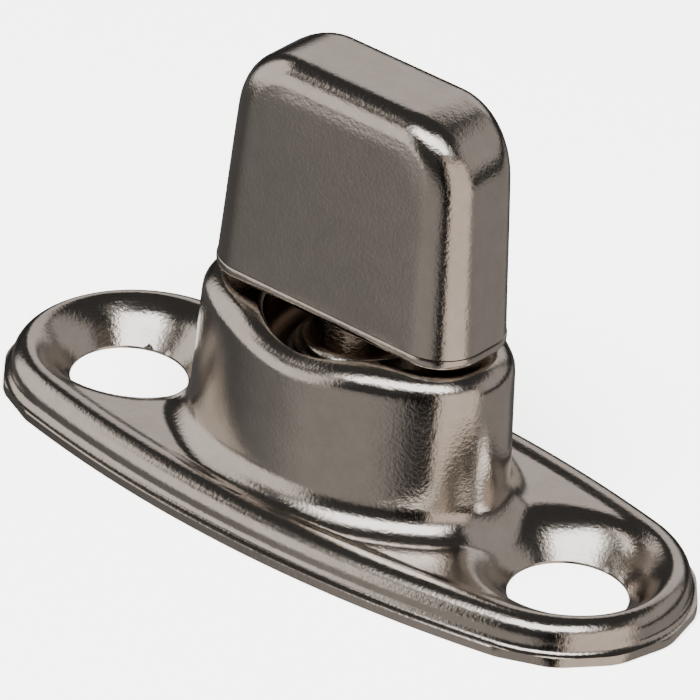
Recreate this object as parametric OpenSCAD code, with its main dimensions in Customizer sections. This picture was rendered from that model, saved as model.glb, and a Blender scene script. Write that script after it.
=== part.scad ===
// Turn button fastener on an oval base with two screw holes.
// A pressed brass shell carries a hollow turret. A sprung spindle runs through the
// turret's floor and holds the hollow head, which lifts a little and turns.
// Millimetres, +Z up, +X along the base. The origin is the centre of the underside.

/* [Base plate] */
// Length of the base, tip to tip
base_len = 38; // [34:0.5:46]
// Width of the base at its middle
base_w = 16; // [15:0.1:20]
// Radius of the base's rounded ends
base_end_r = 6.6; // [6.2:0.1:7.4]
// Height of the square lip round the foot of the plate
lip_h = 0.45; // [0.3:0.05:0.6]
// How far the lip stands out from the plate's side
lip_out = 0.4; // [0.2:0.05:0.5]
// Height of the plate's top face above the underside
plate_h = 1.95; // [1.8:0.05:2.1]
// Radius of the rounded edge between the plate's side and its top face
plate_edge_r = 0.95; // [0.6:0.05:1]
// Thickness of the pressed sheet
sheet_t = 0.85; // [0.7:0.05:0.95]

/* [Screw holes] */
// Distance between the two screw holes
hole_pitch = 26.4; // [24:0.1:32]
// Diameter of each screw hole
hole_d = 5.6; // [4.5:0.1:5.8]
// Diameter of the dish pressed round each hole, at the plate's top face
dish_d = 8.8; // [8:0.1:9.2]
// Length of the straight wall of each hole
hole_land = 0.15; // [0.1:0.05:0.4]
// Diameter of the flat ring under each dish that meets the mounting surface
ring_d = 8; // [7.4:0.1:8.4]

/* [Turret] */
// Length of the turret just under its top edge
turret_len = 16.4; // [15.6:0.1:16.6]
// Width of the turret just under its top edge
turret_w = 10.7; // [10.4:0.1:11]
// Radius of the turret's ends in plan
turret_end_r = 3.8; // [3.6:0.1:4.4]
// Height of the turret's top above the underside
turret_h = 9.6; // [9.2:0.1:10]
// Slope of the turret's wall, in degrees
turret_draft = 2.5; // [1.5:0.5:4]
// Radius of the turret's rounded top edge
turret_edge_r = 1.2; // [0.9:0.1:1.3]
// Radius of the hollow curve at the turret's foot
turret_foot_r = 1.3; // [1:0.1:1.6]
// Thickness of the turret's wall at its top
turret_wall = 0.95; // [0.8:0.05:1.1]

/* [Well in the turret] */
// Diameter of the round well in the turret's top
well_d = 8.7; // [8.2:0.1:8.9]
// Height of the well's floor above the underside
well_floor_h = 7; // [6.8:0.1:7.4]
// Radius of the well's rounded mouth
well_lip_r = 0.4; // [0.3:0.05:0.6]

/* [Spindle and spring] */
// Diameter of the spindle's shank
shank_d = 3.4; // [3:0.1:3.6]
// Radial clearance between the shank and what it turns in
run_gap = 0.05; // [0.03:0.01:0.08]
// Gap left between pieces that face each other endways
end_gap = 0.05; // [0.03:0.01:0.1]
// Diameter of the spindle's flange, seen in the well
flange_d = 5.8; // [5.2:0.1:6.2]
// Diameter of the spindle's neck, between flange and head
neck_d = 4.4; // [4:0.1:4.8]
// Diameter of the spring wire
wire_d = 0.55; // [0.45:0.05:0.6]
// Diameter of the spring, outside
spring_d = 6.6; // [6:0.1:6.8]
// Turns of the spring, with the closed turn at each end
spring_turns = 4; // [4:1:5]
// Thickness of the washers under the head and the turret's floor
washer_t = 0.4; // [0.3:0.05:0.5]

/* [Head] */
// Length of the head at its sole
head_len = 14.8; // [14:0.1:15.6]
// Thickness of the head at its sole
head_t = 5.8; // [5.6:0.1:6.2]
// Gap between the turret's top and the head's sole
head_gap = 0.35; // [0.3:0.05:0.5]
// Height of the head, sole to top
head_h = 11.8; // [11:0.1:13]
// Narrowing of each end of the head, in degrees
head_taper = 4; // [2:0.5:6]
// Radius of the head's upper corners, seen from the side
head_corner_r = 3.6; // [2.8:0.1:4]
// Radius of the head's ends in plan, at the sole
head_end_r = 2.2; // [2:0.1:2.6]
// Radius of the rounded edges round the head's top
head_edge_r = 1.3; // [0.9:0.1:1.5]
// Loss of the head's thickness towards the top
head_thin = 0.6; // [0.3:0.1:0.8]
// Wall thickness of the head's drawn cap
cap_wall = 0.8; // [0.6:0.05:0.9]
// Height of the sole plate that closes the cap, at its edge
sole_t = 0.55; // [0.45:0.05:0.7]

/* [Hidden] */
arc_fn = 64;
end_steps = 10;
side_steps = 6;
plate_steps = 5;
foot_steps = 8;
edge_steps = 6;
cut_more = 1;
hair = 0.02;
steel = [0.75, 0.76, 0.78];
brass = [0.78, 0.66, 0.36];
nickel = [0.66, 0.65, 0.62];
hole_x = hole_pitch / 2;
plate_bottom = plate_h - sheet_t;
plate_in = lip_out + plate_edge_r;
floor_bottom = well_floor_h - sheet_t;
wall_at = turret_h - turret_edge_r;
foot_mid_h = plate_h + turret_foot_r;
bore_r = shank_d / 2 + run_gap;
washer_r = spring_d / 2 + 0.5;
shank_r = shank_d / 2;
flange_bottom = well_floor_h + washer_t + end_gap;
flange_t = 0.4;
sole_h = turret_h + head_gap;
seam_h = sole_h + sole_t;
land_t = 0.4;
tenon_r = 1.5;
peen_r = 2;
peen_t = 0.5;
seat_bottom = floor_bottom - washer_t;
keeper_bottom = 1.15;
keeper_t = 0.75;
keeper_r = 3.2;
cup_bottom = keeper_bottom + keeper_t + end_gap;
cup_t = 0.55;
cup_lip_h = 0.45;
cup_lip_t = 0.35;
spring_low = cup_bottom + cup_t;
spring_high = seat_bottom;
head_top = sole_h + head_h;
corner_x = head_len / 2 - (head_top - head_corner_r - sole_h) * tan(head_taper)
    - head_corner_r;

// Radius of the long side arcs of an oval, from its half length, half width and end radius
function side_r(l, w, r) = (pow(l - r, 2) + pow(w, 2) - pow(r, 2)) / (2 * (w - r));

// Angle at which the end arcs of an oval hand over to its side arcs
function join_angle(l, w, r) = atan2(side_r(l, w, r) - w, l - r);

// Points on the first quarter of an oval, pulled inwards by an inset. None of them
// lies on the line where two arcs meet
function oval_quarter(l, w, r, inset) = let (
    big = side_r(l, w, r),
    turn = join_angle(l, w, r)
) [
    for (i = [0 : end_steps - 1]) let (a = turn * (i + 0.5) / end_steps)
        [l - r + (r - inset) * cos(a), (r - inset) * sin(a)],
    for (i = [0 : side_steps - 1]) let (a = turn + (90 - turn) * (i + 0.5) / side_steps)
        [(big - inset) * cos(a), w - big + (big - inset) * sin(a)]
];

// All four quarters of the same oval, as one closed outline
function oval_points(l, w, r, inset) = let (
    q = oval_quarter(l, w, r, inset),
    last = len(q) - 1
) concat(
    q,
    [for (i = [last : -1 : 0]) [-q[i][0], q[i][1]]],
    [for (i = [0 : last]) [-q[i][0], -q[i][1]]],
    [for (i = [last : -1 : 0]) [q[i][0], -q[i][1]]]
);

// The same outline lifted to a height
function oval_row(l, w, r, inset, z) = [
    for (p = oval_points(l, w, r, inset)) [p[0], p[1], z]
];

// Points along an arc, from one angle to another
function arc(x, y, r, from, to, steps) = [
    for (i = [0 : steps]) let (a = from + (to - from) * i / steps)
        [x + r * cos(a), y + r * sin(a)]
];

// A straight-walled oval block between two heights
module oval_block(l, w, r, inset, low, high) {
    translate([0, 0, low])
        linear_extrude(height = high - low)
            polygon(oval_points(l, w, r, inset));
}

// Height of the hollow foot at a distance out from the turret's wall
function foot_height(away) = away >= turret_foot_r
    ? plate_h
    : plate_h + turret_foot_r - sqrt(pow(turret_foot_r, 2) - pow(turret_foot_r - away, 2));

// One outline on the way from the plate's rounded edge to the turret's wall
function foot_row(outer, inner, part) = [
    for (i = [0 : len(outer) - 1]) let (
        gap = inner[i] - outer[i],
        p = outer[i] + gap * part
    ) [p[0], p[1], foot_height(norm(gap) * (1 - part))]
];

// Outlines of the base's outside, from its lower edge up to the turret's top
function shell_rows() = let (
    l = base_len / 2,
    w = base_w / 2,
    tl = turret_len / 2,
    tw = turret_w / 2,
    flare = (wall_at - foot_mid_h) * tan(turret_draft),
    outer = oval_points(l, w, base_end_r, plate_in),
    inner = oval_points(tl, tw, turret_end_r, -flare)
) concat(
    [
        oval_row(l, w, base_end_r, 0, 0),
        oval_row(l, w, base_end_r, 0, lip_h),
        oval_row(l, w, base_end_r, lip_out, lip_h + lip_out)
    ],
    [
        for (i = [0 : plate_steps]) let (a = 90 * i / plate_steps)
            oval_row(
                l, w, base_end_r,
                lip_out + plate_edge_r * (1 - cos(a)),
                plate_h - plate_edge_r * (1 - sin(a))
            )
    ],
    [
        for (i = [1 : foot_steps - 1])
            foot_row(outer, inner, 1 - pow(1 - i / foot_steps, 2))
    ],
    [
        for (z = [foot_mid_h, (foot_mid_h + wall_at) / 2, wall_at])
            oval_row(tl, tw, turret_end_r, -(wall_at - z) * tan(turret_draft), z)
    ],
    [
        for (i = [1 : edge_steps]) let (a = 90 * i / edge_steps)
            oval_row(
                tl, tw, turret_end_r,
                turret_edge_r * (1 - cos(a)),
                wall_at + turret_edge_r * sin(a)
            )
    ]
);

// Outside of the base as one solid: plate, foot and turret
module shell_form() {
    rows = shell_rows();
    around = len(rows[0]);
    top = len(rows) - 1;
    walls = [
        for (j = [0 : top - 1], i = [0 : around - 1]) let (
            next = (i + 1) % around,
            a = j * around + i,
            b = j * around + next,
            c = (j + 1) * around + next,
            d = (j + 1) * around + i
        ) each [[a, c, b], [a, d, c]]
    ];
    polyhedron(
        points = [for (row = rows) each row],
        faces = concat(
            walls,
            [[for (i = [0 : around - 1]) i]],
            [[for (i = [around - 1 : -1 : 0]) top * around + i]]
        )
    );
}

// Room inside the turret, open at the underside
module turret_room() {
    half_l = turret_len / 2;
    half_w = turret_w / 2;
    room_top = turret_h - sheet_t;
    oval_block(half_l, half_w, turret_end_r, turret_wall, -cut_more, floor_bottom);
    difference() {
        oval_block(half_l, half_w, turret_end_r, turret_wall, floor_bottom - hair, room_top);
        translate([0, 0, floor_bottom - cut_more])
            cylinder(r = well_d / 2 + turret_wall, h = room_top, $fn = arc_fn);
    }
}

// Round well in the turret's top, with its rounded mouth
module well_cut() {
    well_r = well_d / 2;
    corner = 0.9;
    mouth_r = well_r + well_lip_r;
    rotate_extrude($fn = arc_fn)
        polygon(concat(
            [
                [0, well_floor_h],
                [well_r - corner, well_floor_h],
                [well_r, well_floor_h + corner]
            ],
            arc(mouth_r, turret_h - well_lip_r, well_lip_r, 180, 105, 5),
            [
                [mouth_r + cut_more, turret_h + cut_more],
                [0, turret_h + cut_more]
            ]
        ));
}

// Dish and through hole for one screw
module screw_cut() {
    hole_r = hole_d / 2;
    dish_r = dish_d / 2;
    translate([0, 0, -cut_more])
        cylinder(r = hole_r, h = plate_h + cut_more, $fn = arc_fn);
    translate([0, 0, hole_land])
        cylinder(r1 = hole_r, r2 = dish_r, h = plate_h - hole_land, $fn = arc_fn);
    translate([0, 0, plate_h])
        cylinder(r = dish_r, h = cut_more, $fn = arc_fn);
}

// Shallow room under the pressed plate, round the two dishes
module plate_room() {
    difference() {
        oval_block(
            base_len / 2, base_w / 2, base_end_r,
            lip_out + sheet_t, -cut_more, plate_bottom
        );
        for (x = [-hole_x, hole_x])
            translate([x, 0, -2 * cut_more])
                cylinder(d = ring_d, h = plate_bottom + 3 * cut_more, $fn = arc_fn);
    }
}

// Base: one pressed shell with two dished screw holes and the turret
module base_shell() {
    color(nickel)
        difference() {
            shell_form();
            plate_room();
            turret_room();
            well_cut();
            for (x = [-hole_x, hole_x])
                translate([x, 0, 0])
                    screw_cut();
            translate([0, 0, floor_bottom - cut_more])
                cylinder(r = bore_r, h = sheet_t + 2 * cut_more, $fn = arc_fn);
        }
}

// A flat washer standing at a height
module washer(outer_r, inner_r, low, thick) {
    translate([0, 0, low])
        difference() {
            cylinder(r = outer_r, h = thick, $fn = arc_fn);
            translate([0, 0, -cut_more])
                cylinder(r = inner_r, h = thick + 2 * cut_more, $fn = arc_fn);
        }
}

// Thin washer in the well, under the spindle's flange
module wear_washer() {
    color(steel)
        washer(flange_d / 2 + 0.3, bore_r, well_floor_h, washer_t);
}

// Washer under the turret's floor that takes the spring's upper end
module upper_seat() {
    color(steel)
        washer(washer_r, bore_r, seat_bottom, washer_t);
}

// Cup that takes the spring's lower end, free to turn on the spindle
module lower_cup() {
    color(steel) {
        washer(washer_r, bore_r, cup_bottom, cup_t);
        washer(washer_r, washer_r - cup_lip_t, spring_low, cup_lip_h);
    }
}

// Thick washer held on the spindle by its riveted foot
module keeper_washer() {
    color(brass)
        washer(keeper_r, shank_r + hair, keeper_bottom, keeper_t);
}

// Height of the spring's wire centre after a number of turns
function coil_rise(turns) = let (
    low = spring_low + wire_d / 2 + hair,
    high = spring_high - wire_d / 2 - hair,
    close = wire_d + hair,
    free = spring_turns - 2
) turns < 1 ? low + close * turns
    : turns < 1 + free ? low + close + (high - low - 2 * close) * (turns - 1) / free
    : high - close * (spring_turns - turns);

// Coil spring with one closed turn at each end
module spring() {
    steps = 30;
    sides = 10;
    count = spring_turns * steps;
    coil_r = spring_d / 2 - wire_d / 2;
    points = [
        for (i = [0 : count], k = [0 : sides - 1]) let (
            a = 360 * i / steps,
            b = 360 * k / sides,
            out = coil_r + wire_d / 2 * cos(b)
        ) [out * cos(a), out * sin(a), coil_rise(i / steps) + wire_d / 2 * sin(b)]
    ];
    walls = [
        for (i = [0 : count - 1], k = [0 : sides - 1]) let (
            next = (k + 1) % sides
        ) [i * sides + k, i * sides + next, (i + 1) * sides + next, (i + 1) * sides + k]
    ];
    near_end = [for (k = [sides - 1 : -1 : 0]) k];
    far_end = [for (k = [0 : sides - 1]) count * sides + k];
    color(steel)
        polyhedron(points = points, faces = concat(walls, [near_end, far_end]));
}

// Spindle: riveted foot, shank, flange, neck and the tenon riveted over inside the head
module spindle() {
    foot_t = 0.55;
    tenon_top = seam_h + land_t;
    color(brass)
        rotate_extrude($fn = arc_fn)
            polygon([
                [0, keeper_bottom - foot_t],
                [shank_r, keeper_bottom - foot_t],
                [peen_r, keeper_bottom - foot_t / 2],
                [peen_r, keeper_bottom],
                [shank_r, keeper_bottom],
                [shank_r, flange_bottom],
                [flange_d / 2, flange_bottom],
                [flange_d / 2, flange_bottom + flange_t],
                [neck_d / 2, flange_bottom + flange_t],
                [neck_d / 2, sole_h],
                [tenon_r, sole_h],
                [tenon_r, tenon_top],
                [peen_r, tenon_top],
                [peen_r, tenon_top + peen_t / 2],
                [tenon_r, tenon_top + peen_t],
                [0, tenon_top + peen_t]
            ]);
}

// Rounded rectangle in plan, as long and thick as the head at its sole
module head_plan(inset) {
    r = head_end_r - inset;
    long = head_len / 2 - head_end_r;
    wide = head_t / 2 - head_end_r;
    for (x = [-long, long], y = [-wide, wide])
        translate([x, y])
            circle(r = r, $fn = arc_fn);
    square([2 * long, 2 * (wide + r)], center = true);
    square([2 * (long + r), 2 * wide], center = true);
}

// Sole plate: closes the cap and holds the spindle
module sole_plate() {
    color(nickel)
        difference() {
            union() {
                translate([0, 0, sole_h])
                    linear_extrude(height = sole_t)
                        head_plan(0);
                translate([0, 0, seam_h - hair])
                    linear_extrude(height = land_t + hair)
                        head_plan(cap_wall + 0.15);
            }
            translate([0, 0, sole_h - cut_more])
                cylinder(
                    r = tenon_r + hair,
                    h = sole_t + land_t + 2 * cut_more,
                    $fn = arc_fn
                );
        }
}

// One upper corner of the head: a thick disc on its side, with rounded edges
module corner_disc(inset) {
    r = head_corner_r - inset;
    edge = head_edge_r - inset;
    half = (head_t - head_thin) / 2 - inset;
    rotate([90, 0, 0])
        rotate_extrude($fn = 40) {
            translate([0, -half])
                square([r - edge, 2 * half]);
            translate([0, edge - half])
                square([r, 2 * (half - edge)]);
            for (y = [edge - half, half - edge])
                translate([r - edge, y])
                    circle(r = edge, $fn = 24);
        }
}

// Solid form of the head above its sole plate, shrunk all round by an inset
module head_form(inset, low) {
    long = head_len / 2 - head_end_r - (seam_h - sole_h) * tan(head_taper);
    wide = head_t / 2 - head_end_r;
    hull() {
        for (x = [-long, long], y = [-wide, wide])
            translate([x, y, low])
                cylinder(r = head_end_r - inset, h = 0.2, $fn = 40);
        for (x = [-corner_x, corner_x])
            translate([x, 0, head_top - head_corner_r])
                corner_disc(inset);
    }
}

// Cap: the head's hollow drawn shell
module head_cap() {
    color(nickel)
        difference() {
            head_form(0, seam_h + hair);
            head_form(cap_wall, seam_h - cut_more);
        }
}

base_shell();
wear_washer();
upper_seat();
spring();
lower_cup();
keeper_washer();
spindle();
sole_plate();
head_cap();
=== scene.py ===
import math

import bmesh
import bpy
from bpy.props import FloatProperty, IntProperty, PointerProperty, StringProperty
from mathutils import Matrix, Vector


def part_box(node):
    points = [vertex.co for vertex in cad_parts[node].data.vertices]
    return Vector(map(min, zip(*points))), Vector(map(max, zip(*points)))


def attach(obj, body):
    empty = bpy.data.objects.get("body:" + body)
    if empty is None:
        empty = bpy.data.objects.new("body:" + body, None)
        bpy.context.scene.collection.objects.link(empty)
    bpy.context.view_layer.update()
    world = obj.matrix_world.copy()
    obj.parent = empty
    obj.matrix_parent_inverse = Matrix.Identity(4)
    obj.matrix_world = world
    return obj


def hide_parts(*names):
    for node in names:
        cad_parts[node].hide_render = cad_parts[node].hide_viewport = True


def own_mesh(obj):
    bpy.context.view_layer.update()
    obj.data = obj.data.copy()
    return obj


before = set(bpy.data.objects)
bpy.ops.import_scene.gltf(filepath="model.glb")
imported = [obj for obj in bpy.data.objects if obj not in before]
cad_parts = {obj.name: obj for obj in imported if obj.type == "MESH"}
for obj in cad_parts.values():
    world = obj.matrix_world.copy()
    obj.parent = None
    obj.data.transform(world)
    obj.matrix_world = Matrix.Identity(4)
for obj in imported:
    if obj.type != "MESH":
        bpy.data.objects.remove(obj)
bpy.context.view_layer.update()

bl_info = {
    "name": "Turn Button Fastener",
    "version": (1, 0, 0),
    "blender": (4, 5, 0),
    "location": "View3D > Sidebar > Turn Button",
    "description": "Builds a nickel-plated turn button on an oval two-screw base",
    "category": "Add Mesh",
}

# Points round each ring of the pressed base, per quarter: on its end arc and its side arc
END_STEPS = 30
SIDE_STEPS = 34
# Rings across the plate, over the turret's top and along the underside
PLATE_RINGS = 90
TOP_RINGS = 30
UNDER_RINGS = 60
# Points round a turned piece
TURNED_STEPS = 96
# Steps in each turn of the spring, and sides of its wire
COIL_STEPS = 48
WIRE_SIDES = 14
# Edges that turn by more than this many degrees stay sharp
SHARP_DEGREES = 38.0
# Width of the nickel's fine grain and of its orange-peel, in mm. Both are drawn coarser
# than on real plate, where they would be too fine to show.
GRAIN_MM = 0.07
PEEL_MM = 0.17


def length(name, description, default):
    """A size in metres, with the unit that the sidebar shows."""
    return FloatProperty(
        name=name, description=description, default=default, unit="LENGTH", precision=5
    )


def hex_colour(name, description, default):
    """A colour kept as an sRGB hex value."""
    return StringProperty(name=name, description=description, default=default)


class BaseSizes(bpy.types.PropertyGroup):
    """Sizes of the pressed base with its turret."""

    length: length("Length", "Base from tip to tip", 0.038)
    width: length("Width", "Base across its middle", 0.016)
    end_r: length("End radius", "Radius of the rounded ends in plan", 0.0066)
    lip_h: length("Lip height", "Height of the square lip round the plate", 0.00045)
    lip_out: length("Lip", "How far the lip stands out from the plate's side", 0.0004)
    plate_h: length("Plate height", "Top face of the plate", 0.00195)
    edge: length("Plate edge", "Radius between the plate's side and top", 0.00095)
    plate_low: length("Plate underside", "Underside of the plate", 0.0011)
    hole_x: length("Hole place", "Distance of each screw hole from the middle", 0.0132)
    hole_r: length("Hole radius", "Radius of each screw hole", 0.0028)
    hole_low: length("Hole land", "Height of the straight wall of each hole", 0.00012)
    dish_soft: length("Dish rounding", "Softness of the dish's rounded mouth", 0.0009)
    dish_slope: FloatProperty(
        name="Dish slope", description="Slope of the dish's wall", default=math.radians(51),
        subtype="ANGLE",
    )
    ring_r: length("Ring radius", "Radius of the ring under each dish", 0.004)
    turret_l: length("Turret length", "Half length under the top edge", 0.0082)
    turret_w: length("Turret width", "Half width under the top edge", 0.00535)
    turret_end: length("Turret end radius", "Radius of the turret's ends in plan", 0.0038)
    turret_h: length("Turret height", "Top of the turret", 0.0096)
    edge_r: length("Turret edge", "Radius of the turret's top edge", 0.0012)
    foot_r: length("Turret foot", "Radius of the hollow curve at the turret's foot", 0.0013)
    draft: FloatProperty(
        name="Draft", description="Slope of the turret's wall", default=math.radians(2.5),
        subtype="ANGLE",
    )
    well_r: length("Well radius", "Radius of the well in the turret's top", 0.00435)
    well_floor: length("Well floor", "Height of the well's floor", 0.007)
    mouth_r: length("Well mouth", "Radius of the well's rounded mouth", 0.0004)
    valley: length("Valley depth", "Dip of the plate inside its rounded edge", 0.00014)
    valley_in: length("Valley slope", "Width of the slope down into the valley", 0.0007)
    sag: length("Ridge sag", "Dip of the narrow ridge beside the well", 0.00045)
    flat_cut: length("Lip flats", "Depth of the flats trimmed on the lip's ends", 0.0001)
    bore_r: length("Bore radius", "Radius of the bore for the spindle", 0.00175)
    sheet: length("Sheet", "Thickness of the pressed sheet", 0.0009)


class HeadSizes(bpy.types.PropertyGroup):
    """Sizes of the hollow head and its sole plate."""

    length: length("Length", "Head at its sole", 0.0148)
    thick: length("Thickness", "Head at its sole", 0.0058)
    sole_z: length("Sole height", "Underside of the head above the base's underside", 0.00995)
    top_z: length("Top height", "Top of the head", 0.02175)
    seam: length("Seam", "Height of the seam above the sole", 0.00055)
    seam_gap: length("Seam gap", "Width of the fine line at the seam", 0.00003)
    corner_r: length("Corner radius", "Upper corners seen from the side", 0.0036)
    end_r: length("End radius", "Rounding of the ends in plan, at the sole", 0.0022)
    shoulder_r: length("Shoulder radius", "Edge rounding at the upper corners", 0.002)
    crown_r: length("Crown radius", "Edge rounding along the top", 0.0013)
    thin: length("Thinning", "Loss of thickness from sole to top", 0.0006)
    taper: FloatProperty(
        name="Taper", description="Narrowing of each end", default=math.radians(4),
        subtype="ANGLE",
    )


class SpringSizes(bpy.types.PropertyGroup):
    """Sizes of the coil spring. Its turns are 1 closed, some free and 1 closed."""

    wire_r: length("Wire radius", "Radius of the spring wire", 0.000275)
    free: IntProperty(name="Free turns", description="Turns between the closed ends", default=2)
    travel: length("Travel", "How far the head's lift shortens the spring", 0.001)


class Finishes(bpy.types.PropertyGroup):
    """Colours of the finishes, as sRGB hex values."""

    nickel: hex_colour("Nickel", "Bright nickel plate", "#CFC8C0")
    nickel_dull: hex_colour("Nickel, dull", "Nickel plate where handling has dulled it", "#C6BFB7")
    well: hex_colour("Well", "Thin, brown-tinged plating down the well", "#6E5C4E")
    # the well's colour is a brown tint of thin plating, made darker as painted shade for the deep
    # well under the head
    steel: hex_colour("Steel", "Stamped washers", "#A9A9AB")
    wire: hex_colour("Spring wire", "Drawn spring wire", "#8E9093")
    brass: hex_colour("Brass", "Unplated brass", "#C4A464")
    floor: hex_colour("Floor", "Studio floor", "#F4F3F1")


# ---------------------------------------------------------------- shared helpers


def linear(hex_value):
    """An sRGB hex colour as linear RGBA."""
    parts = [int(hex_value[i:i + 2], 16) / 255 for i in (1, 3, 5)]
    return [p / 12.92 if p <= 0.04045 else ((p + 0.055) / 1.055) ** 2.4 for p in parts] + [1.0]


def add_node(tree, kind, settings=None, links=None):
    """Adds a node; settings are attributes or socket values, links feed its sockets."""
    node = tree.nodes.new(kind)
    for key, value in (settings or {}).items():
        if isinstance(key, str) and hasattr(node, key):
            setattr(node, key, value)
        else:
            node.inputs[key].default_value = value
    for key, source in (links or {}).items():
        tree.links.new(source, node.inputs[key])
    return node


def smooth_low(a, b, soft):
    """The lower of two heights, blended where they are close."""
    h = min(1.0, max(0.0, 0.5 + 0.5 * (b - a) / soft))
    return b + (a - b) * h - soft * h * (1 - h)


def between(a, b, t):
    """A value part of the way from a to b, eased at both ends."""
    t = min(1.0, max(0.0, t))
    return a + (b - a) * t * t * (3 - 2 * t)


class Oval:
    """An outline of two end arcs and two long side arcs that meet without a corner."""

    def __init__(self, l, w, r):
        self.l, self.w, self.r = l, w, r
        self.big = ((l - r) ** 2 + w ** 2 - r ** 2) / (2 * (w - r))
        self.turn = math.atan2(self.big - w, l - r)

    def quarter(self, inset):
        """Points of the first quarter, pulled inwards by an inset."""
        points = []
        for i in range(END_STEPS):
            a = self.turn * (i + 0.5) / END_STEPS
            r = self.r - inset
            points.append(Vector((self.l - self.r + r * math.cos(a), r * math.sin(a))))
        for i in range(SIDE_STEPS):
            a = self.turn + (math.pi / 2 - self.turn) * (i + 0.5) / SIDE_STEPS
            r = self.big - inset
            points.append(Vector((r * math.cos(a), self.w - self.big + r * math.sin(a))))
        return points

    def ring(self, inset):
        """Points all round, pulled inwards by an inset."""
        q = self.quarter(inset)
        back = list(reversed(q))
        return (
            q
            + [Vector((-p.x, p.y)) for p in back]
            + [Vector((-p.x, -p.y)) for p in q]
            + [Vector((p.x, -p.y)) for p in back]
        )

    def inset_of(self, x, y):
        """How far inside the outline a point lies."""
        x, y = abs(x), abs(y)
        low = self.big - self.w
        if math.atan2(y + low, x) < self.turn:
            return self.r - math.hypot(x - self.l + self.r, y)
        return self.big - math.hypot(x, y + low)


def start_ring(bm, places):
    """A closed ring of vertices at the given places."""
    made = bmesh.ops.create_circle(bm, segments=len(places), radius=1.0)
    for vert, place in zip(made["verts"], places):
        vert.co = place
    return made["verts"]


def grow_ring(bm, ring, places):
    """Extrudes a ring's edges and moves the new ring to the given places."""
    edges = []
    for i, vert in enumerate(ring):
        other = ring[(i + 1) % len(ring)]
        edges.append(next(e for e in vert.link_edges if e.other_vert(vert) is other))
    made = bmesh.ops.extrude_edge_only(bm, edges=edges)
    new = {g for g in made["geom"] if isinstance(g, bmesh.types.BMVert)}
    grown = []
    for vert in ring:
        grown.append(next(
            e.other_vert(vert) for e in vert.link_edges if e.other_vert(vert) in new
        ))
    for vert, place in zip(grown, places):
        vert.co = place
    return grown


def close_ring(bm, ring):
    """Fills a ring with one face."""
    bmesh.ops.contextual_create(bm, geom=ring)


def level_ring(points, z):
    """A ring of points at one height."""
    return [Vector((p.x, p.y, z)) for p in points]


def finish_piece(bm, name, body, nodes, material):
    """Turns a bmesh into a finished piece that rides on a body and stands for CAD nodes."""
    bmesh.ops.remove_doubles(bm, verts=bm.verts, dist=2e-6)
    bmesh.ops.recalc_face_normals(bm, faces=bm.faces)
    limit = math.radians(SHARP_DEGREES)
    for face in bm.faces:
        face.smooth = True
    for edge in bm.edges:
        edge.smooth = len(edge.link_faces) != 2 or edge.calc_face_angle(0.0) < limit
    mesh = bpy.data.meshes.new(name)
    bm.to_mesh(mesh)
    bm.free()
    piece = bpy.data.objects.new(name, mesh)
    bpy.context.scene.collection.objects.link(piece)
    piece.data.materials.append(material)
    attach(piece, body)
    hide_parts(*nodes)
    return piece


def turned(bm, profile):
    """Spins a profile of (radius, height) points once round the spindle's axis."""
    verts = [bm.verts.new((r, 0.0, z)) for r, z in profile]
    edges = [bm.edges.new(pair) for pair in zip(verts, verts[1:])]
    bmesh.ops.spin(
        bm, geom=verts + edges, cent=(0, 0, 0), axis=(0, 0, 1), dvec=(0, 0, 0),
        angle=math.tau, steps=TURNED_STEPS, use_merge=True, use_duplicate=False,
    )


# ---------------------------------------------------------------- finishes


def nickel_plate(name, finishes, roughness):
    """Nickel plate on brass: a warm grey mirror with a fine orange-peel, which breaks the
    edges of its reflections into small specks. It is duller where handled."""
    material = bpy.data.materials.new(name)
    material.use_nodes = True
    tree = material.node_tree
    tree.nodes.clear()
    place = add_node(tree, "ShaderNodeTexCoord")
    peel = add_node(
        tree, "ShaderNodeTexNoise",
        {"Scale": 1000 / PEEL_MM, "Detail": 2.0, "Roughness": 0.5},
        {"Vector": place.outputs["Object"]},
    )
    grain = add_node(
        tree, "ShaderNodeTexNoise",
        {"Scale": 1000 / GRAIN_MM, "Detail": 4.0, "Roughness": 0.65},
        {"Vector": place.outputs["Object"]},
    )
    # patches a millimetre or two wide, where touch and wiping have dulled the plate
    # so that its reflections lose a little light
    cloud = add_node(
        tree, "ShaderNodeTexNoise",
        {"Scale": 700.0, "Detail": 6.0, "Roughness": 0.7},
        {"Vector": place.outputs["Object"]},
    )
    tint = add_node(
        tree, "ShaderNodeValToRGB", links={"Fac": cloud.outputs["Fac"]},
    )
    tint.color_ramp.elements[0].position = 0.35
    tint.color_ramp.elements[0].color = linear(finishes.nickel_dull)
    tint.color_ramp.elements[1].position = 0.62
    tint.color_ramp.elements[1].color = linear(finishes.nickel)
    rough = add_node(
        tree, "ShaderNodeMapRange",
        {"From Min": 0.3, "From Max": 0.7, "To Min": roughness * 1.35, "To Max": roughness},
        {"Value": cloud.outputs["Fac"]},
    )
    fine = add_node(
        tree, "ShaderNodeBump", {"Strength": 0.4, "Distance": 0.00001},
        {"Height": grain.outputs["Fac"]},
    )
    bump = add_node(
        tree, "ShaderNodeBump", {"Strength": 0.6, "Distance": 0.00002},
        {"Height": peel.outputs["Fac"], "Normal": fine.outputs["Normal"]},
    )
    shader = add_node(
        tree, "ShaderNodeBsdfPrincipled", {"Metallic": 1.0},
        {
            "Base Color": tint.outputs["Color"],
            "Roughness": rough.outputs["Result"],
            "Normal": bump.outputs["Normal"],
        },
    )
    add_node(tree, "ShaderNodeOutputMaterial", links={"Surface": shader.outputs["BSDF"]})
    return material


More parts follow.
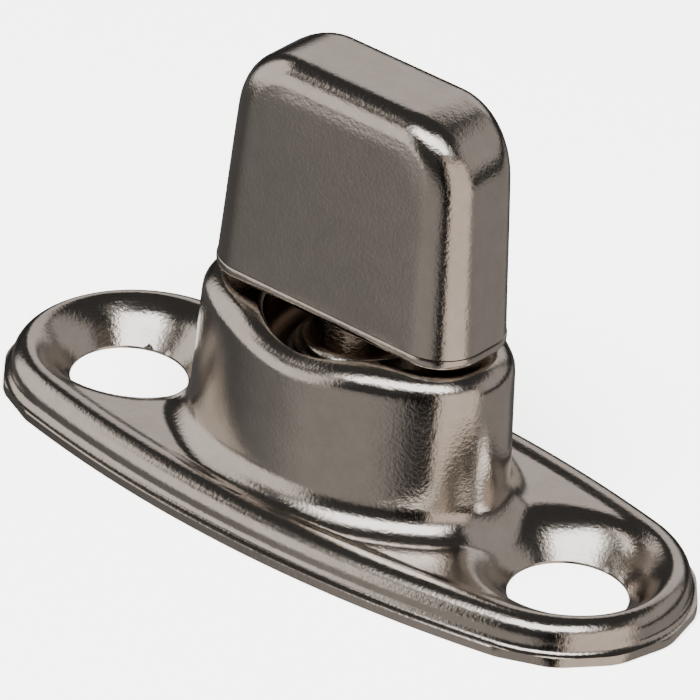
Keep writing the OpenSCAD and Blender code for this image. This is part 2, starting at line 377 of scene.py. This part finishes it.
def plain_metal(name, colour, mark_mm, roughness, stretch=(1.0, 1.0, 1.0)):
    """Bare metal with fine drawn or stamped marks that scatter its highlight."""
    material = bpy.data.materials.new(name)
    material.use_nodes = True
    tree = material.node_tree
    tree.nodes.clear()
    place = add_node(tree, "ShaderNodeTexCoord")
    turn = add_node(
        tree, "ShaderNodeMapping", {"Scale": stretch}, {"Vector": place.outputs["Object"]},
    )
    marks = add_node(
        tree, "ShaderNodeTexNoise",
        {"Scale": 1000 / mark_mm, "Detail": 4.0, "Roughness": 0.6},
        {"Vector": turn.outputs["Vector"]},
    )
    rough = add_node(
        tree, "ShaderNodeMapRange",
        {"To Min": roughness * 0.8, "To Max": roughness * 1.25},
        {"Value": marks.outputs["Fac"]},
    )
    bump = add_node(
        tree, "ShaderNodeBump", {"Strength": 0.4, "Distance": 0.00001},
        {"Height": marks.outputs["Fac"]},
    )
    shader = add_node(
        tree, "ShaderNodeBsdfPrincipled", {"Metallic": 1.0, "Base Color": linear(colour)},
        {"Roughness": rough.outputs["Result"], "Normal": bump.outputs["Normal"]},
    )
    add_node(tree, "ShaderNodeOutputMaterial", links={"Surface": shader.outputs["BSDF"]})
    return material


# ---------------------------------------------------------------- pressed base


def foot_rise(away, s):
    """Height of the hollow curve at the turret's foot, at a distance out from the wall."""
    if away >= s.foot_r:
        return 0.0
    away = max(away, 0.0)
    return s.foot_r - math.sqrt(s.foot_r ** 2 - (s.foot_r - away) ** 2)


def rounded(top, r, inside):
    """Height of a top face whose edge is rounded, at a distance in from its side."""
    if inside >= r:
        return top
    return top - r + math.sqrt(max(0.0, r ** 2 - (r - inside) ** 2))


def edge_rows(s):
    """Insets and heights of the plate's edge: lip, hollow step, side and rounded edge."""
    bevel, bevel_down, step_rise = 0.00004, 0.00005, 0.00042
    step_rings, edge_rings = 7, 12
    rows = [(0.0, 0.0), (0.0, s.lip_h - bevel_down), (bevel, s.lip_h)]
    for i in range(1, step_rings + 1):
        a = math.pi / 2 * i / step_rings
        rows.append((
            bevel + (s.lip_out - bevel) * math.sin(a), s.lip_h + step_rise * (1 - math.cos(a)),
        ))
    for i in range(edge_rings + 1):
        a = math.pi / 2 * i / edge_rings
        rows.append((
            s.lip_out + s.edge * (1 - math.cos(a)), s.plate_h - s.edge * (1 - math.sin(a)),
        ))
    return rows


def trimmed(p, s):
    """A point of the lip, moved in to the short straight flats round both ends."""
    centre = s.length / 2 - s.end_r
    side_x, side_y = math.copysign(1.0, p.x), math.copysign(1.0, p.y)
    q = Vector((abs(p.x) - centre, abs(p.y)))
    for degrees in (13.0, 39.0, 65.0):
        out = Vector((math.cos(math.radians(degrees)), math.sin(math.radians(degrees))))
        over = q.dot(out) - (s.end_r - s.flat_cut)
        if over > 0:
            q -= out * over
    return Vector((side_x * (q.x + centre), side_y * q.y, p.z))


def sagged(p, s):
    """A point of the turret, lowered where the narrow ridge passes the well."""
    half_length, clear, across = 0.0026, 0.001, 0.0034
    start, rise = 0.0062, 0.0034
    share = math.exp(-(p.x / half_length) ** 2)
    share *= between(0.0, 1.0, (abs(p.y) - clear) / across)
    high = between(0.0, 1.0, (p.z - start) / rise)
    return Vector((p.x, p.y, p.z - s.sag * share * high))


def dish_height(x, y, s):
    """Height of the dish round the nearer screw hole; it rises without end outside."""
    away = math.hypot(abs(x) - s.hole_x, y)
    return s.hole_low + (away - s.hole_r) * math.tan(s.dish_slope)


def dished(p, s):
    """A point of the plate's top, pressed down into the dish; the dish's mouth is rounded
    wider on the turret's side."""
    inward = s.hole_x - abs(p.x)
    toward = max(0.0, inward / max(1e-6, math.hypot(inward, p.y)))
    soft = s.dish_soft * (1 + toward ** 2)
    return Vector((p.x, p.y, smooth_low(p.z, dish_height(p.x, p.y, s), soft)))


def cut_round(bm, verts, x, radius, lift):
    """Cuts a round hole: the nearest vertices move onto its edge, the faces inside go."""
    def away(vert):
        return math.hypot(vert.co.x - x, vert.co.y) - radius

    near = dict.fromkeys(v for v in verts if abs(away(v)) < radius)
    on_edge = {}
    for edge in dict.fromkeys(e for v in near for e in v.link_edges):
        a, b = edge.verts
        if a not in near or b not in near or a in on_edge or b in on_edge:
            continue
        if away(a) * away(b) < 0:
            on_edge[a if abs(away(a)) < abs(away(b)) else b] = True
    for vert in on_edge:
        out = Vector((vert.co.x - x, vert.co.y)).normalized() * radius
        vert.co = Vector((x + out.x, out.y, lift))
    bmesh.ops.connect_verts(bm, verts=list(on_edge), check_degenerate=True)
    inside = [
        f for f in dict.fromkeys(f for v in near for f in v.link_faces)
        if all(v in on_edge or away(v) < 0 for v in f.verts)
    ]
    bmesh.ops.delete(bm, geom=inside, context="FACES")
    return list(dict.fromkeys(
        e for v in on_edge if v.is_valid for e in v.link_edges
        if len(e.link_faces) == 1 and e.other_vert(v) in on_edge
    ))


def plate_rows(s, outline, turret):
    """Rings from the lip's lower edge, over the plate and up the turret's foot."""
    edge = edge_rows(s)
    edge_in = edge[-1][0]
    side_start = s.lip_h + s.lip_out + 0.0001
    rows = []
    for inset, z in edge:
        ring = level_ring(outline.ring(inset), z)
        if z <= s.lip_h:
            ring = [trimmed(p, s) for p in ring]
        elif z > side_start:
            ring = [dished(p, s) for p in ring]
        rows.append(ring)
    foot_at = s.plate_h + s.foot_r
    flare = (s.turret_h - s.edge_r - foot_at) * math.tan(s.draft)
    outer, inner = outline.ring(edge_in), turret.ring(-flare)
    foot = Oval(s.turret_l + flare, s.turret_w + flare, s.turret_end + flare)
    for k in range(1, PLATE_RINGS):
        # the rings lie closer together at the foot
        t = k / PLATE_RINGS
        t = min(t + 0.14 * math.sin(math.pi * t), 1.0)
        ring = []
        for a, b in zip(outer, inner):
            p = a.lerp(b, t)
            from_edge = outline.inset_of(p.x, p.y) - edge_in
            from_foot = -foot.inset_of(p.x, p.y)
            dip = s.valley * between(0.0, 1.0, from_edge / s.valley_in)
            dip *= between(0.0, 1.0, from_foot / s.foot_r)
            p = dished(Vector((p.x, p.y, s.plate_h - dip)), s)
            p.z += foot_rise(from_foot, s)
            ring.append(p)
        rows.append(ring)
    rows.append(level_ring(inner, foot_at))
    return rows


def turret_rows(s, turret):
    """Rings up the turret's wall, over its rounded edge and in to the well's mouth."""
    wall_at = s.turret_h - s.edge_r
    foot_at = s.plate_h + s.foot_r
    wall_rings = 6
    rows = []
    for k in range(1, wall_rings + 1):
        z = foot_at + (wall_at - foot_at) * k / wall_rings
        rows.append(level_ring(turret.ring(-(wall_at - z) * math.tan(s.draft)), z))
    for k in range(1, TOP_RINGS + 1):
        # the rings lie closer together at the outer edge and at the well
        t = k / TOP_RINGS
        t = t - 0.1 * math.sin(math.tau * t)
        ring = []
        for p in turret.ring(0.0):
            q = p.lerp(p.normalized() * s.well_r, t)
            over = rounded(s.turret_h, s.edge_r, turret.inset_of(q.x, q.y))
            mouth = rounded(s.turret_h, s.mouth_r, q.length - s.well_r)
            ring.append(Vector((q.x, q.y, smooth_low(over, mouth, 0.0001))))
        rows.append(ring)
    return rows


def well_rows(s, directions):
    """Rings down the well, across its floor and down through the bore."""
    corner = 0.0009
    top = s.turret_h - s.mouth_r
    wall_rings, corner_rings = 4, 6
    profile = [
        (s.well_r, top + (s.well_floor + corner - top) * k / wall_rings)
        for k in range(wall_rings + 1)
    ]
    for k in range(1, corner_rings + 1):
        a = math.pi / 2 * k / corner_rings
        profile.append((
            s.well_r - corner * (1 - math.cos(a)), s.well_floor + corner * (1 - math.sin(a)),
        ))
    profile += [(r, s.well_floor) for r in (0.003, 0.0022, s.bore_r + 0.0001)]
    profile += [(s.bore_r, s.well_floor - 0.0001), (s.bore_r, s.well_floor - s.sheet)]
    return [[Vector((d.x * r, d.y * r, z)) for d in directions] for r, z in profile]


def under_rows(s, outline, turret, directions):
    """Rings back along the inside: first the turret's room, then the plate's underside."""
    taper, skirt_in, ring_slope = 0.0002, 0.0013, 0.0003
    wall_rings = 4
    floor_low = s.well_floor - s.sheet
    room = []
    for t in (0.35, 0.7, 1.0):
        points = [
            (d * s.bore_r).lerp(p, t) for d, p in zip(directions, turret.ring(s.sheet))
        ]
        room.append(level_ring(points, floor_low))
    for k in range(1, wall_rings + 1):
        z = floor_low + (s.plate_low - floor_low) * k / wall_rings
        room.append(level_ring(turret.ring(s.sheet - taper * k / wall_rings), z))
    under = []
    for k in range(1, UNDER_RINGS + 1):
        ring = []
        for a, b in zip(turret.ring(s.sheet - taper), outline.ring(skirt_in)):
            p = a.lerp(b, k / UNDER_RINGS)
            away = math.hypot(abs(p.x) - s.hole_x, p.y)
            z = between(0.0, s.plate_low, (away - s.ring_r) / ring_slope)
            ring.append(Vector((p.x, p.y, z)))
        under.append(ring)
    under.append(level_ring(outline.ring(skirt_in), 0.0))
    under.append([trimmed(p, s) for p in level_ring(outline.ring(0.0), 0.0)])
    return room, under


def base_rows(s):
    """Every ring of the base, as those above the underside and those along it."""
    outline = Oval(s.length / 2, s.width / 2, s.end_r)
    turret = Oval(s.turret_l, s.turret_w, s.turret_end)
    directions = [p.normalized() for p in turret.ring(0.0)]
    raised = turret_rows(s, turret) + well_rows(s, directions)
    room, under = under_rows(s, outline, turret, directions)
    above = plate_rows(s, outline, turret)
    above += [[sagged(p, s) for p in row] for row in raised]
    return above + room, under


class MESH_OT_button_base(bpy.types.Operator):
    """Builds the pressed base: rim, dished screw holes, turret and well"""

    bl_idname = "mesh.button_base"
    bl_label = "Pressed Base"
    bl_options = {"REGISTER", "UNDO"}

    def execute(self, context):
        s = context.scene.button_base
        f = context.scene.button_finishes
        above, below = base_rows(s)
        hole_reach, hair = 0.006, 0.0001
        bm = bmesh.new()
        ring = start_ring(bm, above[0])
        top, under = [], []
        for row in above[1:]:
            ring = grow_ring(bm, ring, row)
            top += ring
        for row in below:
            ring = grow_ring(bm, ring, row)
            under += ring
        for x in (-s.hole_x, s.hole_x):
            upper = cut_round(
                bm, [v for v in top if v.is_valid and v.co.z < s.plate_h + hair
                     and abs(v.co.x - x) < hole_reach],
                x, s.hole_r, s.hole_low,
            )
            lower = cut_round(
                bm, [v for v in under if v.is_valid and abs(v.co.x - x) < hole_reach],
                x, s.hole_r, 0.0,
            )
            bmesh.ops.bridge_loops(bm, edges=upper + lower)
        # faces down the well take the second material, whose dark brown is partly painted shade
        well_low, well_high = s.well_floor - 0.0002, s.turret_h - 0.0012
        for face in bm.faces:
            middle = face.calc_center_median()
            if well_low < middle.z < well_high and middle.xy.length < s.well_r + 0.00002:
                face.material_index = 1
        piece = finish_piece(
            bm, "pressed_base", "base", ["base_shell"],
            nickel_plate("nickel_plated_pressed_brass", f, 0.11),
        )
        # plating thins out down the narrow well and leaves a brown tint, and the colour is
        # darkened further as painted shade for the deep hollow under the head, so the eye sees a
        # dark brown hollow with a dull sheen
        piece.data.materials.append(plain_metal("well_tint_and_painted_shade", f.well, 0.2, 0.3))
        return {"FINISHED"}


# ---------------------------------------------------------------- head


def head_outline(h, low):
    """Side view of the head as points: place, inward direction and edge rounding."""
    lean = h.taper
    half = h.length / 2
    side_steps, corner_steps, top_steps = 28, 24, 12
    centre_z = h.top_z - h.corner_r
    touch_z = centre_z + h.corner_r * math.sin(lean)
    touch_x = half - (touch_z - h.sole_z) * math.tan(lean)
    centre_x = touch_x - h.corner_r * math.cos(lean)
    right = []
    for i in range(side_steps):
        z = low + (touch_z - low) * i / side_steps
        x = half - (z - h.sole_z) * math.tan(lean)
        rounding = between(h.end_r, h.shoulder_r, (z - h.sole_z) / (touch_z - h.sole_z))
        right.append((Vector((x, z)), Vector((-math.cos(lean), -math.sin(lean))), rounding))
    for i in range(corner_steps + 1):
        a = lean + (math.pi / 2 - lean) * i / corner_steps
        rounding = between(h.shoulder_r, h.crown_r, i / corner_steps)
        right.append((
            Vector((centre_x + h.corner_r * math.cos(a), centre_z + h.corner_r * math.sin(a))),
            Vector((-math.cos(a), -math.sin(a))), rounding,
        ))
    for i in range(1, top_steps + 1):
        x = centre_x * (1 - i / top_steps)
        right.append((Vector((x, h.top_z)), Vector((0.0, -1.0)), h.crown_r))
    left = [
        (Vector((-p.x, p.y)), Vector((-n.x, n.y)), e) for p, n, e in reversed(right[:-1])
    ]
    return right + left


class MESH_OT_button_head(bpy.types.Operator):
    """Builds the head's drawn cap"""

    bl_idname = "mesh.button_head"
    bl_label = "Head Cap"
    bl_options = {"REGISTER", "UNDO"}

    def execute(self, context):
        h = context.scene.button_head
        f = context.scene.button_finishes
        low = h.sole_z + h.seam + h.seam_gap
        side = head_outline(h, low)
        foot_steps, edge_steps = 24, 12
        swell = 0.00006

        def half_thick(z):
            share = (z - h.sole_z) / (h.top_z - h.sole_z)
            return (h.thick - h.thin * share) / 2

        def loop(turn, sign):
            """One loop round the side view. turn 0 is the flat face, pi/2 the outside."""
            ring = []
            for p, n, e in side:
                q = p + n * e * (1 - math.sin(turn))
                q.y = max(q.y, low)
                y = half_thick(p.y) - e * (1 - math.cos(turn))
                ring.append(Vector((q.x, sign * y, q.y)))
            first, last = ring[0], ring[-1]
            for i in range(1, foot_steps):
                ring.append(last.lerp(first, i / foot_steps))
            return ring

        def face_loop(scale, sign):
            """One loop inside the flat face, shrunk towards its middle."""
            middle = Vector((0.0, 0.0, (low + h.top_z) / 2 - 0.0006))
            ring = []
            for v in loop(0.0, sign):
                q = middle + (Vector((v.x, 0.0, v.z)) - middle) * scale
                out = half_thick(q.z) + swell * (1 - scale ** 2)
                ring.append(Vector((q.x, sign * out, q.z)))
            return ring

        bm = bmesh.new()
        scales = [0.08, 0.3, 0.5, 0.7, 0.86, 0.96]
        ring = start_ring(bm, face_loop(scales[0], -1))
        close_ring(bm, ring)
        for scale in scales[1:]:
            ring = grow_ring(bm, ring, face_loop(scale, -1))
        for i in range(edge_steps + 1):
            ring = grow_ring(bm, ring, loop(math.pi / 2 * i / edge_steps, -1))
        for i in range(edge_steps + 1):
            ring = grow_ring(bm, ring, loop(math.pi / 2 * (1 - i / edge_steps), 1))
        for scale in reversed(scales):
            ring = grow_ring(bm, ring, face_loop(scale, 1))
        close_ring(bm, list(reversed(ring)))
        finish_piece(
            bm, "head_shell", "head", ["head_cap"],
            nickel_plate("nickel_plated_drawn_brass", f, 0.11),
        )
        return {"FINISHED"}


def plan_ring(half_l, half_t, r, inset, z):
    """Rounded rectangle in plan, as long and thick as the head."""
    ring = []
    steps = 16
    for quarter, (sx, sy) in enumerate(((1, 1), (-1, 1), (-1, -1), (1, -1))):
        for i in range(steps + 1):
            a = math.pi / 2 * (quarter + i / steps)
            ring.append(Vector((
                sx * (half_l - r) + (r - inset) * math.cos(a),
                sy * (half_t - r) + (r - inset) * math.sin(a), z,
            )))
    return ring


class MESH_OT_button_sole(bpy.types.Operator):
    """Builds the sole plate that closes the head"""

    bl_idname = "mesh.button_sole"
    bl_label = "Sole Plate"
    bl_options = {"REGISTER", "UNDO"}

    def execute(self, context):
        h = context.scene.button_head
        f = context.scene.button_finishes
        round_r, round_steps = 0.00028, 8
        middle_in = 0.0016
        bm = bmesh.new()
        size = (h.length / 2, h.thick / 2, h.end_r)
        ring = start_ring(bm, plan_ring(*size, middle_in, h.sole_z))
        close_ring(bm, ring)
        for i in range(round_steps + 1):
            a = math.pi / 2 * i / round_steps
            ring = grow_ring(bm, ring, plan_ring(
                *size, round_r * (1 - math.sin(a)), h.sole_z + round_r * (1 - math.cos(a))
            ))
        # bevel at the seam, then the step that locates the plate inside the cap
        seam = h.sole_z + h.seam
        for inset, rise in ((0.0, -0.00008), (0.00003, -0.00002), (0.0001, 0.0),
                            (0.0009, 0.0), (0.00095, 0.00038), (middle_in, 0.0004)):
            ring = grow_ring(bm, ring, plan_ring(*size, inset, seam + rise))
        close_ring(bm, list(reversed(ring)))
        finish_piece(
            bm, "sole", "head", ["sole_plate"],
            nickel_plate("nickel_plated_sole", f, 0.11),
        )
        return {"FINISHED"}


# ---------------------------------------------------------------- spindle and washers


class MESH_OT_button_spindle(bpy.types.Operator):
    """Builds the spindle with its flange, neck and riveted ends"""

    bl_idname = "mesh.button_spindle"
    bl_label = "Spindle"
    bl_options = {"REGISTER", "UNDO"}

    def execute(self, context):
        f = context.scene.button_finishes
        low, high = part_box("spindle")
        sole = context.scene.button_head.sole_z
        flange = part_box("wear_washer")[1].z + 0.00005
        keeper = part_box("keeper_washer")[0].z
        shank_r, flange_r, neck_r, tenon_r, peen_r = 0.0017, 0.0029, 0.0022, 0.0015, 0.002
        bevel = 0.0001
        bm = bmesh.new()
        turned(bm, [
            # riveted foot
            (0.0, low.z), (0.0011, low.z), (shank_r, low.z + 0.00006),
            (0.0019, low.z + 0.0002), (peen_r, keeper - bevel), (peen_r, keeper),
            # shank and flange
            (shank_r, keeper), (shank_r, flange), (flange_r - bevel, flange),
            (flange_r, flange + bevel), (flange_r, flange + 3 * bevel),
            (flange_r - bevel, flange + 4 * bevel),
            # hollow curve up to the neck
            (0.0025, flange + 4 * bevel), (0.00235, flange + 5 * bevel),
            (neck_r, flange + 8 * bevel), (neck_r, sole),
            # tenon, riveted over inside the head
            (tenon_r, sole), (tenon_r, sole + 0.00095), (peen_r, sole + 0.00095),
            (0.0019, sole + 0.0012), (tenon_r, high.z), (0.0, high.z),
        ])
        finish_piece(
            bm, "turned_spindle", "head", ["spindle"],
            nickel_plate("nickel_plated_turned_brass", f, 0.12),
        )
        return {"FINISHED"}


class MESH_OT_button_washers(bpy.types.Operator):
    """Builds the three washers and the spring cup on the spindle"""

    bl_idname = "mesh.button_washers"
    bl_label = "Washers and Cup"
    bl_options = {"REGISTER", "UNDO"}

    def execute(self, context):
        f = context.scene.button_finishes
        # cool grey with a soft, cloudy highlight
        steel = plain_metal("stamped_zinc_plated_steel", f.steel, 0.12, 0.32)
        # yellow, with the stamping's fine marks left in it
        brass = plain_metal("stamped_bare_brass", f.brass, 0.15, 0.3)
        running, tight = 0.00175, 0.00172
        jobs = (
            ("well_washer", "wear_washer", "base", running, "steel", steel),
            ("spring_seat", "upper_seat", "base", running, "steel", steel),
            ("riveted_keeper", "keeper_washer", "head", tight, "bare_brass", brass),
        )
        e = 0.00007
        for name, node, body, bore, slot, material in jobs:
            low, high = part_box(node)
            r = high.x
            bm = bmesh.new()
            turned(bm, [
                (bore, low.z), (r - e, low.z), (r, low.z + e), (r, high.z - e),
                (r - e, high.z), (bore + e, high.z), (bore, high.z - e), (bore, low.z),
            ])
            finish_piece(bm, name, body, [node], material)
        low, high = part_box("lower_cup")
        lip_h, lip_t, under_bevel, outer_bevel = 0.00045, 0.00035, 0.00015, 0.0001
        r, inner, deck = high.x, high.x - lip_t, high.z - lip_h
        bm = bmesh.new()
        turned(bm, [
            (running, low.z), (r - under_bevel, low.z), (r, low.z + under_bevel),
            (r, high.z - outer_bevel), (r - outer_bevel, high.z), (inner + e, high.z),
            (inner, high.z - e), (inner, deck), (running, deck), (running, low.z),
        ])
        finish_piece(bm, "spring_cup", "lift", ["lower_cup"], steel)
        return {"FINISHED"}


def coil_rise(turns, low, high, close, free):
    """Height of the wire's centre after some turns, with one closed turn at each end."""
    if turns < 1:
        return low + close * turns
    if turns < 1 + free:
        return low + close + (high - low - 2 * close) * (turns - 1) / free
    return high - close * (free + 2 - turns)


class MESH_OT_button_spring(bpy.types.Operator):
    """Builds the coil spring"""

    bl_idname = "mesh.button_spring"
    bl_label = "Spring"
    bl_options = {"REGISTER", "UNDO"}

    def execute(self, context):
        s = context.scene.button_spring
        f = context.scene.button_finishes
        box_low, box_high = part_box("spring")
        coil_r = box_high.x - s.wire_r
        low, high = box_low.z + s.wire_r, box_high.z - s.wire_r
        close = 2.04 * s.wire_r
        count = COIL_STEPS * (s.free + 2)
        rows = []
        for i in range(count + 1):
            a = math.tau * i / COIL_STEPS
            z = coil_rise(i / COIL_STEPS, low, high, close, s.free)
            rows.append([
                Vector((
                    (coil_r + s.wire_r * math.cos(b)) * math.cos(a),
                    (coil_r + s.wire_r * math.cos(b)) * math.sin(a),
                    z + s.wire_r * math.sin(b),
                ))
                for b in (math.tau * k / WIRE_SIDES for k in range(WIRE_SIDES))
            ])
        bm = bmesh.new()
        ring = first = start_ring(bm, rows[0])
        for row in rows[1:]:
            ring = grow_ring(bm, ring, row)
        close_ring(bm, ring)
        close_ring(bm, list(reversed(first)))
        piece = finish_piece(
            bm, "coil_spring", "base", ["spring"],
            # dark grey wire with fine drawing marks that spread its highlight
            plain_metal("drawn_spring_wire", f.wire, 0.1, 0.28, (1.0, 1.0, 3.0)),
        )
        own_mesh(piece)
        return {"FINISHED"}


# ---------------------------------------------------------------- stage


def soft_box(name, place, aim, side, watts):
    """A square studio light aimed at a point."""
    light = bpy.data.lights.new(name, "AREA")
    light.shape = "SQUARE"
    light.size = side
    light.energy = watts
    lamp = bpy.data.objects.new(name, light)
    bpy.context.scene.collection.objects.link(lamp)
    lamp.location = place
    lamp.rotation_euler = (Vector(aim) - Vector(place)).to_track_quat("-Z", "Y").to_euler()
    return lamp


# Colour of the dim room, away from every card
ROOM = (0.03, 0.03, 0.03)
# Studio cards in the order they are hung: azimuth and half width, elevation and half
# height, softness of the edge, all in degrees, then the colour
CARDS = (
    (0, 180, -52, 40, 5, (0.10, 0.096, 0.094)),
    (0, 180, 50, 45, 5, (0.05, 0.049, 0.048)),
    (-22, 36, -44, 36, 14, (0.195, 0.185, 0.18)),
    (-2, 28, -44, 34, 13, (0.35, 0.325, 0.305)),
    (-74, 24, 18, 28, 5, (1.05, 0.98, 0.92)),
    (-36, 22, 8, 22, 6, (1.05, 0.98, 0.92)),
    (-156, 27, 28, 17, 6, (0.74, 0.69, 0.66)),
    (143, 38, -32, 24, 4, (0.30, 0.28, 0.265)),
    (140, 30, 23, 18, 6, (0.42, 0.39, 0.37)),
    (77, 28, -20, 48, 6, (1.0, 0.86, 0.75)),
    (39, 8, -2, 25, 3, (0.006, 0.006, 0.006)),
    (28, 58, 52, 15, 5, (1.2, 1.15, 1.1)),
    (28, 42, 52, 13, 2, (4.2, 4.2, 4.3)),
)


def studio_card(tree, under, azimuth, elevation, across, upright, soft, level):
    """Hangs one card in the room: mixes its colour over what is already there."""
    masks = []
    for angle, (centre, half) in ((azimuth, across), (elevation, upright)):
        off = add_node(
            tree, "ShaderNodeMath", {"operation": "SUBTRACT", 1: math.radians(centre)},
            {0: angle},
        )
        wrapped = add_node(
            tree, "ShaderNodeMath", {"operation": "WRAP", 1: math.pi, 2: -math.pi},
            {0: off.outputs["Value"]},
        )
        away = add_node(
            tree, "ShaderNodeMath", {"operation": "ABSOLUTE"}, {0: wrapped.outputs["Value"]}
        )
        masks.append(add_node(
            tree, "ShaderNodeMapRange",
            {
                "interpolation_type": "SMOOTHSTEP",
                "From Min": math.radians(half + soft), "From Max": math.radians(half - soft),
            },
            {"Value": away.outputs["Value"]},
        ))
    both = add_node(
        tree, "ShaderNodeMath", {"operation": "MULTIPLY"},
        {0: masks[0].outputs["Result"], 1: masks[1].outputs["Result"]},
    )
    mixed = add_node(
        tree, "ShaderNodeMix", {"data_type": "RGBA", 7: (*level, 1.0)},
        {0: both.outputs["Value"], 6: under},
    )
    return mixed.outputs[2]


def around(azimuth, elevation, distance, aim=(0.0, 0.0, 0.008)):
    """A point seen from the object: azimuth 0 is in front, along -Y, and 90 is +X."""
    a, e = math.radians(azimuth), math.radians(elevation)
    return Vector(aim) + distance * Vector((
        math.sin(a) * math.cos(e), -math.cos(a) * math.cos(e), math.sin(e)
    ))


class SCENE_OT_button_stage(bpy.types.Operator):
    """Sets out the pale floor, the studio lights and the camera"""

    bl_idname = "scene.button_stage"
    bl_label = "Stage"
    bl_options = {"REGISTER", "UNDO"}

    def execute(self, context):
        f = context.scene.button_finishes
        bm = bmesh.new()
        bmesh.ops.create_grid(bm, x_segments=1, y_segments=1, size=3.0)
        bmesh.ops.translate(bm, verts=bm.verts, vec=(0, 0, -0.00002))
        mesh = bpy.data.meshes.new("studio_floor")
        bm.to_mesh(mesh)
        bm.free()
        floor = bpy.data.objects.new("studio_floor", mesh)
        context.scene.collection.objects.link(floor)
        # matt white, so that only a soft shadow shows on it
        paint = bpy.data.materials.new("matt_white_board")
        paint.use_nodes = True
        shader = paint.node_tree.nodes["Principled BSDF"]
        shader.inputs["Base Color"].default_value = linear(f.floor)
        shader.inputs["Roughness"].default_value = 0.9
        floor.data.materials.append(paint)
        floor.visible_glossy = False

        world = bpy.data.worlds.new("studio")
        context.scene.world = world
        world.use_nodes = True
        tree = world.node_tree
        tree.nodes.clear()
        place = add_node(tree, "ShaderNodeTexCoord")
        split = add_node(
            tree, "ShaderNodeSeparateXYZ", links={"Vector": place.outputs["Generated"]}
        )
        front = add_node(
            tree, "ShaderNodeMath", {"operation": "MULTIPLY", 1: -1.0},
            {0: split.outputs["Y"]},
        )
        bearing = add_node(
            tree, "ShaderNodeMath", {"operation": "ARCTAN2"},
            {0: split.outputs["X"], 1: front.outputs["Value"]},
        )
        rise = add_node(
            tree, "ShaderNodeMath", {"operation": "ARCSINE"}, {0: split.outputs["Z"]}
        )
        shade = add_node(tree, "ShaderNodeRGB")
        shade.outputs["Color"].default_value = (*ROOM, 1.0)
        colour = shade.outputs["Color"]
        for azimuth, half_w, elevation, half_h, soft, level in CARDS:
            colour = studio_card(
                tree, colour, bearing.outputs["Value"], rise.outputs["Value"],
                (azimuth, half_w), (elevation, half_h), soft, level,
            )
        back = add_node(tree, "ShaderNodeBackground", {"Strength": 1.0}, {"Color": colour})
        add_node(tree, "ShaderNodeOutputWorld", links={"Surface": back.outputs["Background"]})
        key = soft_box("overhead", around(20, 75, 0.6), (0, 0, 0), 0.5, 28.0)
        key.visible_glossy = False

        azimuth, elevation, distance, roll = 37.09, 30.51, 0.38961, 4.88
        lens_mm, sensor_mm = 421.38514, 36.0
        aim = Vector((-0.007634, 0.009649, 0.0))
        place = around(azimuth, elevation, distance, aim)
        view = (aim - place).normalized()
        camera = bpy.data.cameras.new("camera")
        camera.sensor_width = sensor_mm
        camera.lens = lens_mm
        camera.clip_start, camera.clip_end = 0.01, 10.0
        eye = bpy.data.objects.new("camera", camera)
        context.scene.collection.objects.link(eye)
        turn = view.to_track_quat("-Z", "Y").to_matrix().to_4x4()
        eye.matrix_world = (
            Matrix.Translation(place) @ turn @ Matrix.Rotation(math.radians(roll), 4, "Z")
        )
        context.scene.camera = eye
        return {"FINISHED"}


class VIEW3D_PT_turn_button(bpy.types.Panel):
    """Buttons and sizes in the sidebar"""

    bl_label = "Turn Button"
    bl_space_type = "VIEW_3D"
    bl_region_type = "UI"
    bl_category = "Turn Button"

    def draw(self, context):
        layout = self.layout
        for operator in OPERATORS:
            layout.operator(operator.bl_idname)
        for _, group in GROUPS:
            box = layout.box()
            data = getattr(context.scene, group)
            for key in data.__annotations__:
                box.prop(data, key)


GROUPS = (
    (BaseSizes, "button_base"),
    (HeadSizes, "button_head"),
    (SpringSizes, "button_spring"),
    (Finishes, "button_finishes"),
)
OPERATORS = (
    MESH_OT_button_base,
    MESH_OT_button_head,
    MESH_OT_button_sole,
    MESH_OT_button_spindle,
    MESH_OT_button_washers,
    MESH_OT_button_spring,
    SCENE_OT_button_stage,
)


def register():
    for group, name in GROUPS:
        bpy.utils.register_class(group)
        setattr(bpy.types.Scene, name, PointerProperty(type=group))
    for operator in OPERATORS:
        bpy.utils.register_class(operator)
    bpy.utils.register_class(VIEW3D_PT_turn_button)


def unregister():
    bpy.utils.unregister_class(VIEW3D_PT_turn_button)
    for operator in reversed(OPERATORS):
        bpy.utils.unregister_class(operator)
    for group, name in reversed(GROUPS):
        delattr(bpy.types.Scene, name)
        bpy.utils.unregister_class(group)


def main():
    register()
    bpy.ops.mesh.button_base()
    bpy.ops.mesh.button_head()
    bpy.ops.mesh.button_sole()
    bpy.ops.mesh.button_spindle()
    bpy.ops.mesh.button_washers()
    bpy.ops.mesh.button_spring()
    bpy.ops.scene.button_stage()


if __name__ == "__main__":
    main()
